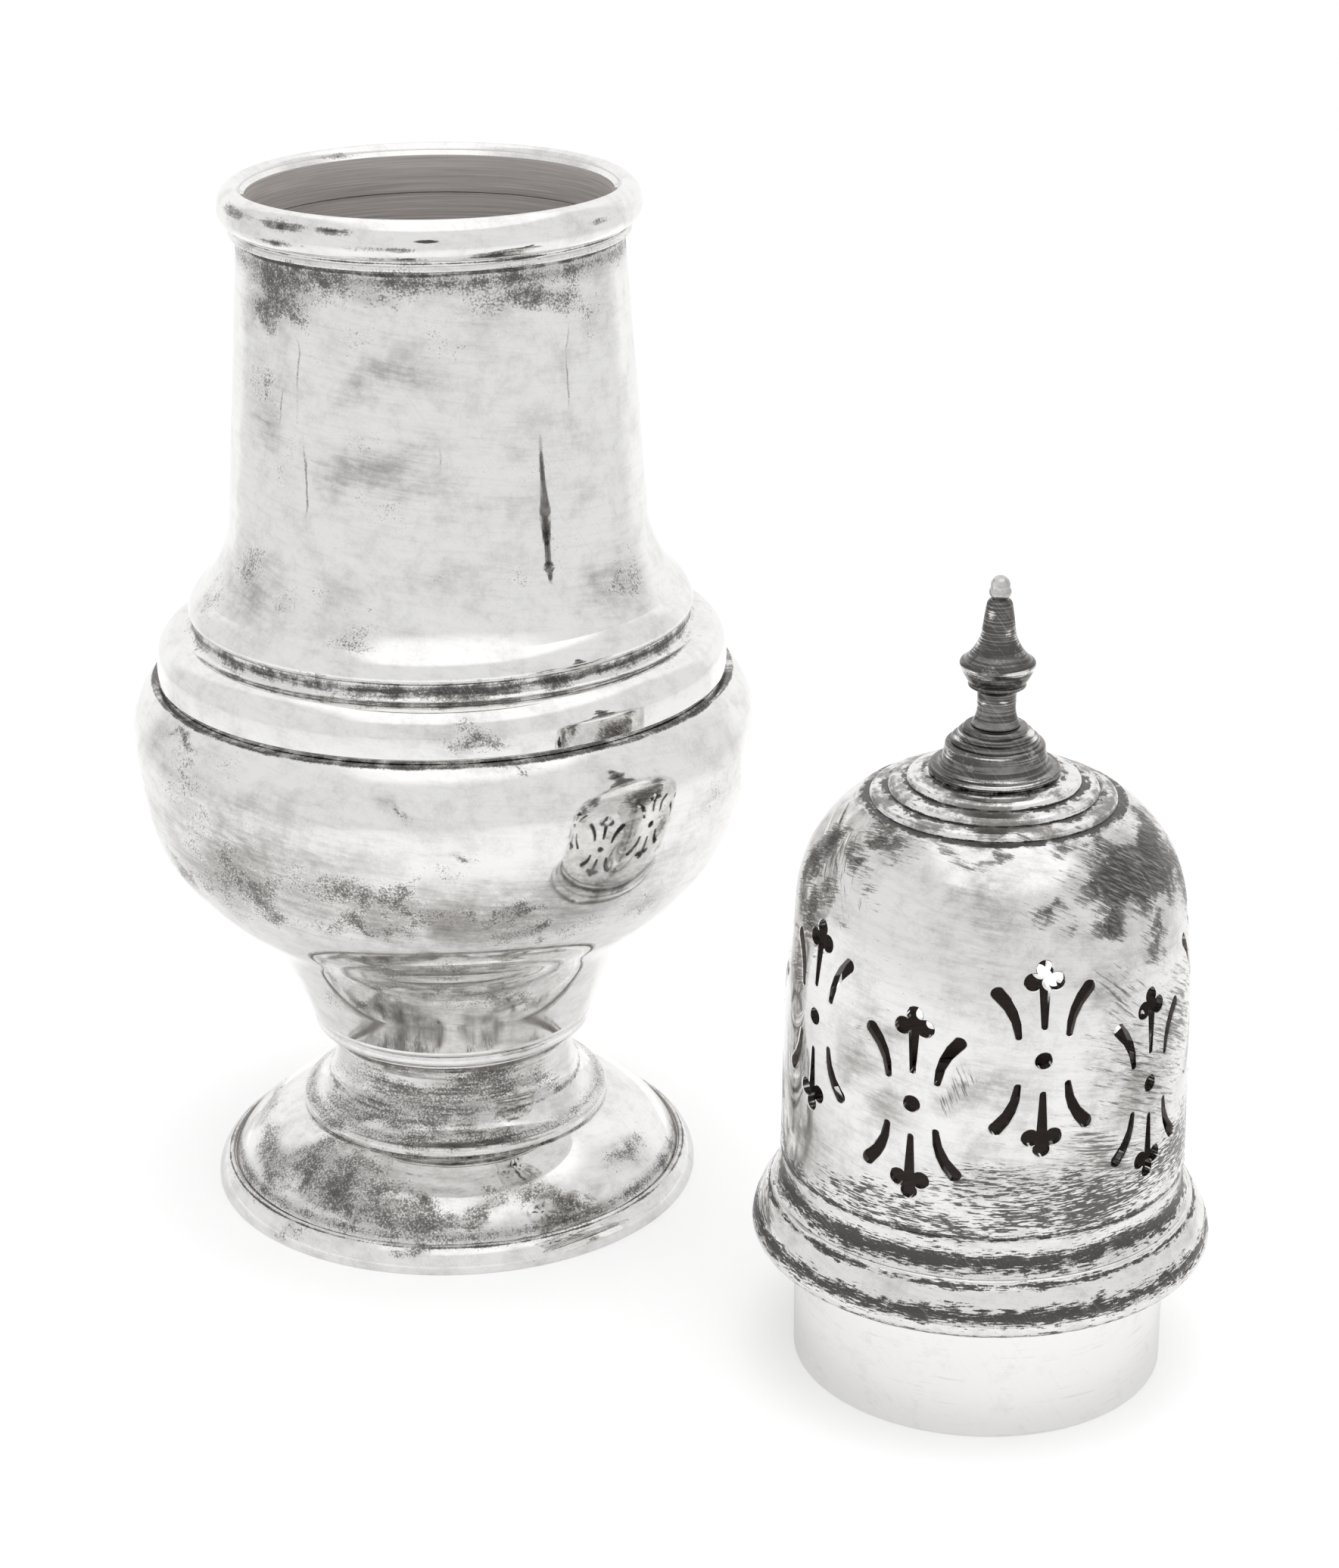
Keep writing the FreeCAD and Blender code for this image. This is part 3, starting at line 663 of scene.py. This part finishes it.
class Graph:
    """Short ways to add shader nodes; an input is given a socket or a plain value."""

    def __init__(self, tree):
        self.tree = tree

    def add(self, kind, inputs=(), **settings):
        """A shader node of a kind, with its inputs and settings."""
        node = self.tree.nodes.new("ShaderNode" + kind)
        for name, value in settings.items():
            setattr(node, name, value)
        for name, value in dict(inputs).items():
            if isinstance(value, bpy.types.NodeSocket):
                self.tree.links.new(value, node.inputs[name])
            else:
                node.inputs[name].default_value = value
        return node

    def math(self, operation, *values, clamp=False):
        """A sum on numbers."""
        return self.add("Math", enumerate(values), operation=operation, use_clamp=clamp).outputs[0]

    def vector(self, operation, *values):
        """A sum on vectors."""
        node = self.add("VectorMath", enumerate(values), operation=operation)
        return node.outputs["Value" if operation in ("LENGTH", "DOT_PRODUCT") else "Vector"]

    def scaled(self, vector, scale):
        """A vector times a number."""
        return self.add("VectorMath", {0: vector, "Scale": scale}, operation="SCALE").outputs["Vector"]

    def times(self, *values):
        """The product of two or more values."""
        product = values[0]
        for value in values[1:]:
            product = self.math("MULTIPLY", product, value)
        return product

    def mixed(self, shares, *values):
        """Sum of values, each with its share, and of the last share by itself."""
        total = shares[-1]
        for value, share in zip(values, shares):
            total = self.math("MULTIPLY_ADD", value, share, total)
        return total

    def highest(self, *values):
        """The highest of several values."""
        highest = values[0]
        for value in values[1:]:
            highest = self.math("MAXIMUM", highest, value)
        return highest

    def ramp(self, value, low, high, floor=0.0, top=1.0):
        """Smooth step of a value from low to high."""
        inputs = {"Value": value, "From Min": low, "From Max": high, "To Min": floor, "To Max": top}
        return self.add("MapRange", inputs, interpolation_type="SMOOTHSTEP").outputs[0]

    def fade(self, distance, reach, strength):
        """A strength that falls evenly to nought over a reach."""
        inputs = {"Value": distance, "From Min": 0.0, "From Max": reach, "To Min": strength, "To Max": 0.0}
        return self.add("MapRange", inputs).outputs[0]

    def noise(self, vector, scale, detail, roughness):
        """Noise spread over the whole of nought to one."""
        inputs = {"Vector": vector, "Scale": scale, "Detail": detail, "Roughness": roughness}
        noise = self.add("TexNoise", inputs).outputs[0]
        spread = {"Value": noise, "From Min": noise_low, "From Max": noise_high}
        return self.add("MapRange", spread).outputs[0]

    def blend(self, factor, first, second):
        """First value to second, as a factor goes from nought to one."""
        return self.add("Mix", {"Factor": factor, "A": first, "B": second}).outputs[0]

    def colour(self, factor, first, second):
        """First colour to second, as a factor goes from nought to one."""
        node = self.add("Mix", data_type="RGBA")
        sockets = [socket for socket in node.inputs if socket.type == "RGBA"]
        for socket, value in zip((node.inputs["Factor"], *sockets), (factor, first, second)):
            if isinstance(value, bpy.types.NodeSocket):
                self.tree.links.new(value, socket)
            else:
                socket.default_value = value if socket.type == "VALUE" else (*value, 1)
        return next(socket for socket in node.outputs if socket.type == "RGBA")

    def behind(self, vector):
        """One where a direction points away from the photograph's viewer, nought towards their side."""
        flat = self.vector("NORMALIZE", self.vector("MULTIPLY", vector, (1, 1, 0)))
        backward = self.add("SeparateXYZ", {"Vector": flat}).outputs["Y"]
        return self.ramp(backward, behind_low, behind_high)

    def rays(self):
        """One for rays that the camera sees directly, and one for those off glossy surfaces."""
        path = self.add("LightPath")
        shown = self.math("MAXIMUM", path.outputs["Is Camera Ray"], path.outputs["Is Transmission Ray"])
        return shown, path.outputs["Is Glossy Ray"]


class Silver(Graph):
    """Shader of one silver piece, with its noises and its place in millimetres from its body's axis."""

    def __init__(self, tree, body, node):
        super().__init__(tree)
        low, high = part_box(node)
        self.low, self.high = low.z / mm, high.z / mm
        self.body = body
        axis = body_axis[body]
        place = self.vector("SUBTRACT", self.add("TexCoord").outputs["Object"], (axis[0], axis[1], 0))
        self.place = self.scaled(place, 1 / mm)
        self.height = self.add("SeparateXYZ", {"Vector": self.place}).outputs["Z"]
        self.fine = self.noise(self.place, *fine_noise)
        self.mottle = self.noise(self.place, *mottle_noise)
        self.level = self.streaks(*level_streaks)
        self.wipes = self.streaks(*wipe_streaks)
        self.blotches = self.mottle
        if node in streaked_nodes:
            self.blotches = self.mixed(blotch_mixture, self.mottle, self.level)
        scale, detail, roughness = stray_noise
        inputs = {"Vector": self.place, "Scale": scale, "Detail": detail, "Roughness": roughness}
        stray = self.scaled(self.add("TexNoise", inputs).outputs["Color"], patch_stray)
        half = self.vector("SUBTRACT", self.place, [patch_stray / 2] * 3)
        self.strayed = self.vector("ADD", half, stray)

    def streaks(self, along, upright, detail, roughness, azimuth=0, tilt=0):
        """Noise in streaks, level or upright, or tilted at an azimuth."""
        inputs = {"Vector": self.place, "Rotation": (0, math.radians(tilt), math.radians(azimuth)),
                  "Scale": (along, along, upright)}
        place = self.add("Mapping", inputs, vector_type="TEXTURE").outputs[0]
        return self.noise(place, 1.0, detail, roughness)

    def surface_place(self, azimuth, height):
        """Place in millimetres on the outside of the body, at an azimuth and a height."""
        around = math.radians(azimuth)
        radius = outer_radius(self.body, height * mm) / mm
        return radius * math.sin(around), -radius * math.cos(around), height

    def patches(self, rows, place=None):
        """How thickly patches cover a place: their strength at the middle, and nought at the edge."""
        cover = 0.0
        for azimuth, height, half_width, half_height, strength, *tilt in rows:
            lean = math.radians(tilt[0] if tilt else 0)
            reach = max(half_height, half_width * math.sin(lean))
            if height + reach < self.low or height - reach > self.high:
                continue
            inputs = {"Vector": place or self.strayed, "Location": self.surface_place(azimuth, height),
                      "Rotation": (0, lean, math.radians(azimuth)),
                      "Scale": (half_width, patch_thickness * max(half_width, half_height), half_height)}
            distance = self.vector("LENGTH", self.add("Mapping", inputs, vector_type="TEXTURE").outputs[0])
            cover = self.math("MAXIMUM", self.fade(distance, 1.0, strength), cover)
        return cover

    def rings(self, rows):
        """How thickly rings of tarnish cover a height."""
        cover = 0.0
        for middle, half_height, strength in rows:
            if self.low - half_height <= middle <= self.high + half_height:
                away = self.math("ABSOLUTE", self.math("SUBTRACT", self.height, middle))
                cover = self.math("MAXIMUM", self.fade(away, half_height, strength), cover)
        return cover

    def torn(self, cover, noise, softness):
        """Tarnish with a ragged edge, where a cover is thicker than the noise."""
        return self.ramp(self.math("SUBTRACT", cover, noise), 0.0, softness)

    def speckled(self, cover, grain, softness):
        """Tarnish that breaks up into grain towards the edge of a cover."""
        return self.torn(cover, self.mixed(speck_mixture, self.blotches, grain), softness)

    def clouded(self, cover, rows):
        """Thin mottled tarnish of clouds, and around the patches of a cover."""
        clouds = self.math("MAXIMUM", self.times(cover, cloud_around_specks), self.patches(rows))
        return self.times(clouds, self.mixed(cloud_mixture, self.mottle, self.wipes))

    def grainy(self, value, depth):
        """A value broken up by fine grain, down to the given depth."""
        return self.times(value, self.mixed((2 * depth, 1 - depth), self.fine))

    def inward(self, start):
        """One on surfaces that face the axis, nought on those that face away from it."""
        outward = self.vector("NORMALIZE", self.vector("MULTIPLY", self.place, (1, 1, 0)))
        facing = self.vector("DOT_PRODUCT", self.add("NewGeometry").outputs["True Normal"], outward)
        return self.ramp(facing, -start, -start - turn_blur)


def silver(name, body, node, tarnish_and_painted_light, haze, turning, dullness=tarnish_roughness):
    """Old silver: a polished metal with tarnish and some painted highlights, reflections and shade, haze,
    fine grain and satin insides.
    """
    material = bpy.data.materials.new(name)
    material.use_nodes = True
    shader = material.node_tree.nodes["Principled BSDF"]
    shader.inputs["Metallic"].default_value = 1
    graph = Silver(material.node_tree, body, node)
    # Tarnish with the painted highlights, reflections and shade of the piece's finish
    dark = tarnish_and_painted_light(graph)
    scratches = graph.ramp(graph.streaks(*scratch_streaks), *scratch_ramp)
    veil = graph.ramp(graph.mixed(veil_mixture, graph.mottle, graph.fine), *veil_ramp)
    wipes = graph.ramp(graph.wipes, *wipe_ramp)
    veil = graph.mixed((haze_share + haze, wipe_share + haze, scratch_share, haze), veil, wipes, scratches)
    veil = graph.math("MULTIPLY", veil, 1.0, clamp=True)
    depth = graph.math("MULTIPLY", dark, graph.mixed(depth_mixture, scratches), clamp=True)
    colour = graph.colour(veil, clean_silver, dull_silver)
    colour = graph.colour(graph.ramp(depth, *dulling_ramp), colour, dull_silver)
    colour = graph.colour(graph.ramp(depth, *darkening_ramp), colour, dark_silver)
    rough = graph.mixed((veil_roughness, dullness, clean_roughness), veil, depth)
    inward = graph.inward(lip_turn if node in bright_lips else inside_turn)
    streaks = graph.times(graph.streaks(*inside_streaks), inside_streaking)
    satin = graph.colour(streaks, inside_silver[body], dark_silver)
    graph.tree.links.new(graph.colour(inward, colour, satin), shader.inputs["Base Color"])
    graph.tree.links.new(graph.blend(inward, rough, inside_roughness), shader.inputs["Roughness"])
    marks = graph.blend(inward, turning * mm, inside_marks * mm)
    lathe = graph.times(graph.streaks(*lathe_streaks), marks)
    relief = graph.math("MULTIPLY_ADD", graph.noise(graph.place, *wave_noise), wave_depth * mm, lathe)
    if node == swelling_node:
        swell = graph.ramp(graph.height, swell_low, swell_high, 0, swell_depth * mm)
        relief = graph.math("ADD", relief, swell)
    bump = graph.add("Bump", {"Height": relief, "Strength": 1.0, "Distance": 1.0})
    graph.tree.links.new(bump.outputs[0], shader.inputs["Normal"])
    return material


def vessel_tarnish_and_reflection(graph):
    """Tarnish of the vessel: speckled patches, soft clouds, drip lines, dark creases at the seams, and a
    painted dark reflection on the mouth rim.
    """
    cover = graph.math("MAXIMUM", graph.patches(vessel_specks), graph.rings(vessel_bands))
    cover = graph.math("MINIMUM", cover, speck_most)
    specks = graph.grainy(graph.speckled(cover, graph.fine, speck_softness), speck_grain)
    clouds = graph.clouded(cover, vessel_clouds)
    stray = graph.vector("SUBTRACT", graph.strayed, graph.place)
    wandering = graph.vector("MULTIPLY_ADD", stray, [line_wander] * 3, graph.place)
    ragged = graph.mixed(line_mixture, graph.fine, graph.mottle)
    lines = graph.torn(graph.patches(vessel_lines, wandering), ragged, line_softness)
    ragged = graph.mixed(seam_mixture, graph.level, graph.fine, graph.mottle)
    seams = graph.grainy(graph.torn(graph.rings(vessel_rings), ragged, seam_softness), seam_grain)
    # Rim patches, one of them a painted dark reflection
    rims_and_reflection = graph.torn(graph.patches(rim_tarnish_and_reflection, graph.place), graph.times(ragged, rim_noise), rim_softness)
    specks = graph.times(specks, speck_strength)
    lines = graph.times(lines, line_strength)
    rims_and_reflection = graph.grainy(rims_and_reflection, rim_grain)
    return graph.highest(specks, clouds, lines, seams, rims_and_reflection, polishing_arcs(graph))


def polishing_arcs(graph):
    """Fine polishing scratches in arcs on the lower bowl."""
    azimuth, height, half_width, half_height = arc_patch
    if not graph.low < height < graph.high:
        return 0.0
    cover = graph.patches(((azimuth, height + half_height, half_width, half_height, 1.0),))
    middle = graph.surface_place(azimuth, height)
    away = graph.vector("LENGTH", graph.vector("SUBTRACT", graph.place, middle))
    waves = graph.math("SINE", graph.mixed(arc_mixture, away, graph.noise(graph.place, *wander_noise)))
    return graph.times(graph.ramp(waves, *arc_ramp), graph.ramp(graph.fine, *arc_grain_ramp), cover,
                       arc_strength)


def cover_tarnish_reflection_and_shade(graph):
    """Tarnish of the cover: ragged patches, clouds, slanting brushing, level dashes and dark creases, with a
    painted reflection of the vessel and painted shade under the finial's foot.
    """
    cover = graph.patches(cover_specks_and_reflection)
    grain = graph.streaks(*grain_streaks)
    specks = graph.speckled(cover, grain, cover_speck_softness)
    specks = graph.times(specks, graph.mixed(grain_mixture, grain))
    clouds = graph.clouded(cover, cover_clouds)
    slanted = 0.0
    for patch in cover_brushed:
        azimuth, *_, tilt = patch
        streak = graph.mixed(slant_mixture, graph.streaks(*slant_streaks, azimuth, tilt))
        brushed = graph.times(graph.torn(graph.patches((patch,)), streak, slant_softness), slant_strength)
        slanted = graph.math("MAXIMUM", brushed, slanted)
    dash = graph.streaks(*dash_streaks)
    cover = graph.patches(cover_dashes)
    dashes = graph.torn(cover, graph.mixed(dash_mixture, dash, graph.mottle), dash_softness)
    dashes = graph.times(dashes, graph.ramp(cover, *dash_ramp))
    ragged = graph.mixed(cover_seam_mixture, dash, graph.mottle, graph.fine)
    # Rings of the cover, with painted shade under the finial's foot
    seams = graph.torn(graph.rings(cover_rings_and_shade), ragged, cover_seam_softness)
    seams = graph.grainy(seams, cover_seam_grain)
    patchy = graph.ramp(graph.mixed(crown_mixture, graph.mottle, graph.level), *crown_ramp)
    above = graph.ramp(graph.height, *crown_low_ramp)
    below = graph.ramp(graph.height, *crown_high_ramp)
    crown = graph.times(above, below, patchy, crown_strength)
    return graph.highest(specks, clouds, slanted, dashes, seams, crown)


def finial_tarnish_reflection_and_highlights(graph):
    """Tarnish of the finial with painted reflection: dark with level turning marks and partly a painted dark
    reflection, worn and painted highlights in places, and a paler bead.
    """
    lines = graph.ramp(graph.streaks(*finial_streaks), *finial_line_ramp)
    wear_and_highlights = graph.patches(finial_wear_and_highlights, graph.place)
    wear_and_highlights = graph.torn(wear_and_highlights, graph.mixed(wear_and_highlight_mixture, lines, graph.fine), wear_and_highlight_softness)
    wear_and_highlights = graph.math("MAXIMUM", wear_and_highlights, graph.ramp(graph.mottle, *finial_worn_ramp))
    # The finial's darkness is partly tarnish and partly a painted dark reflection; its bright places are
    # painted highlights and wear.
    dark = graph.math("MAXIMUM", graph.mixed(finial_mixture, lines, graph.mottle, wear_and_highlights), 0.0)
    return graph.blend(graph.ramp(graph.height, *bead_ramp), dark, graph.times(graph.mottle, bead_strength))


def bezel_scuffs_and_shade(graph):
    """Scuffs and painted shade of the bezel: faint level scuffs, and painted shade that makes it a little
    darker under the flange.
    """
    scuffs = graph.times(graph.ramp(graph.level, *scuff_ramp), scuff_strength)
    # Painted shade: a little darker under the flange
    return graph.highest(scuffs, graph.times(graph.ramp(graph.height, *flange_shade_ramp), flange_shade))


# How each slot is finished: its tarnish with any painted highlights, reflections and shade, its haze,
# the depth of its turning marks in millimetres, and the finial's roughness where it is dark
finishes = {"body_silver": (vessel_tarnish_and_reflection, 0.03, 0.0),
            "cover_silver": (cover_tarnish_reflection_and_shade, 0.08, 0.0),
            "finial_silver": (finial_tarnish_reflection_and_highlights, 0.10, 0.003, 0.13),
            "bezel_silver": (bezel_scuffs_and_shade, -0.08, 0.001)}

# Pieces of the object
for body, nodes in bodies.items():
    for node in nodes:
        section, sharp, closed = sections[node]
        if node == "pierced_dome":
            mesh = pierced_dome_mesh(section, sharp)
        else:
            mesh = turned_mesh(node + "_fine", section, sharp, closed, body_axis[body])
        material = silver(node + "_silver", body, node, *finishes[slots[node]])
        add_piece(node + "_fine", mesh, body, [node], material)


# Stage, lights and camera
# The studio is white behind the object and around it, and a little darker on the viewer's side.

floor_half = 3.0
floor_level = -0.02 * mm
floor_colour = 0.85
floor_roughness = 0.9
floor_glow_shown = 0.30
floor_glow_front = 0.14
floor_glow_behind = 0.28
floor_fade_near = 0.10
floor_fade_far = 0.45
floor_white_near = 0.30
floor_white_far = 0.90
behind_low = math.cos(math.radians(56))
behind_high = math.cos(math.radians(40))
front_level = 0.81
behind_level = 0.98
lighting_level = 0.75
soft_level = 1.12
soft_low = 0.70
soft_high = 0.84
soft_middle = 0.1
soft_side = 0.62
soft_side_blur = 0.22
lamp_place = (0.1, -0.1, 0.9)
lamp_target = (0.02, -0.02, 0.06)
lamp_size = 0.9
lamp_power = 3.0
clip_near = 0.01
clip_far = 20


def add_floor():
    """Wide white floor that keeps the object's shadow, and fades into the world's white far away."""
    mesh = bpy.data.meshes.new("floor")
    sides = (-1, -1), (1, -1), (1, 1), (-1, 1)
    corners = [(x * floor_half, y * floor_half, floor_level) for x, y in sides]
    mesh.from_pydata(corners, [], [(0, 1, 2, 3)])
    floor = bpy.data.objects.new("floor", mesh)
    bpy.context.scene.collection.objects.link(floor)
    material = bpy.data.materials.new("floor_white")
    material.use_nodes = True
    shader = material.node_tree.nodes["Principled BSDF"]
    shader.inputs["Base Color"].default_value = (floor_colour, floor_colour, floor_colour, 1)
    shader.inputs["Roughness"].default_value = floor_roughness
    shader.inputs["Emission Color"].default_value = (1, 1, 1, 1)
    graph = Graph(material.node_tree)
    place = graph.vector("MULTIPLY", graph.add("TexCoord").outputs["Object"], (1, 1, 0))
    distance = graph.vector("LENGTH", place)
    behind = graph.behind(place)
    shown, glossy = graph.rays()
    glow = graph.times(graph.blend(behind, floor_glow_front, floor_glow_behind), glossy)
    graph.tree.links.new(graph.blend(shown, glow, floor_glow_shown), shader.inputs["Emission Strength"])
    faded = graph.times(graph.ramp(distance, floor_fade_near, floor_fade_far), glossy)
    faded = graph.blend(shown, faded, graph.ramp(distance, floor_white_near, floor_white_far))
    level = graph.blend(shown, graph.blend(behind, front_level, behind_level), 1.0)
    sky = graph.add("Emission", {"Strength": level})
    mix = graph.add("MixShader", {0: faded, 1: shader.outputs[0], 2: sky.outputs[0]})
    graph.tree.links.new(mix.outputs[0], material.node_tree.nodes["Material Output"].inputs["Surface"])
    mesh.materials.append(material)


def add_lamp():
    """Soft round lamp overhead, which the silver doesn't mirror."""
    lamp = bpy.data.lights.new("top_softbox", "AREA")
    lamp.shape = "DISK"
    lamp.size = lamp_size
    lamp.energy = lamp_power
    thing = bpy.data.objects.new("top_softbox", lamp)
    thing.location = lamp_place
    thing.rotation_mode = "QUATERNION"
    thing.rotation_quaternion = (Vector(lamp_target) - Vector(lamp_place)).to_track_quat("-Z", "Y")
    thing.visible_glossy = False
    bpy.context.scene.collection.objects.link(thing)


def set_world():
    """White studio: a soft light overhead, a white backdrop, and a duller side towards the viewer."""
    world = bpy.data.worlds.new("studio")
    bpy.context.scene.world = world
    world.use_nodes = True
    background = world.node_tree.nodes["Background"]
    background.inputs["Color"].default_value = (1, 1, 1, 1)
    graph = Graph(world.node_tree)
    way = graph.add("TexCoord").outputs["Generated"]
    split = graph.add("SeparateXYZ", {"Vector": way})
    side = graph.math("ABSOLUTE", graph.math("SUBTRACT", split.outputs["X"], soft_middle))
    soft = graph.times(graph.ramp(split.outputs["Z"], soft_low, soft_high),
                       graph.ramp(side, soft_side, soft_side - soft_side_blur))
    level = graph.blend(graph.behind(way), front_level, behind_level)
    level = graph.blend(soft, level, soft_level)
    shown, glossy = graph.rays()
    level = graph.blend(glossy, lighting_level, level)
    level = graph.blend(shown, level, 1.0)
    graph.tree.links.new(level, background.inputs["Strength"])


def add_camera():
    """Camera where the photograph's stood."""
    camera = bpy.data.cameras.new("camera")
    camera.sensor_width = sensor_size
    camera.lens = focal_length_px * sensor_size / image_height_px
    camera.clip_start = clip_near
    camera.clip_end = clip_far
    thing = bpy.data.objects.new("camera", camera)
    looking = Matrix.Rotation(math.pi / 2 - camera_pitch, 4, "X") @ Matrix.Rotation(camera_roll, 4, "Z")
    thing.matrix_world = Matrix.Translation(camera_place) @ looking
    bpy.context.scene.collection.objects.link(thing)
    bpy.context.scene.camera = thing


add_floor()
add_lamp()
set_world()
add_camera()
bpy.context.scene.view_settings.view_transform = "Standard"
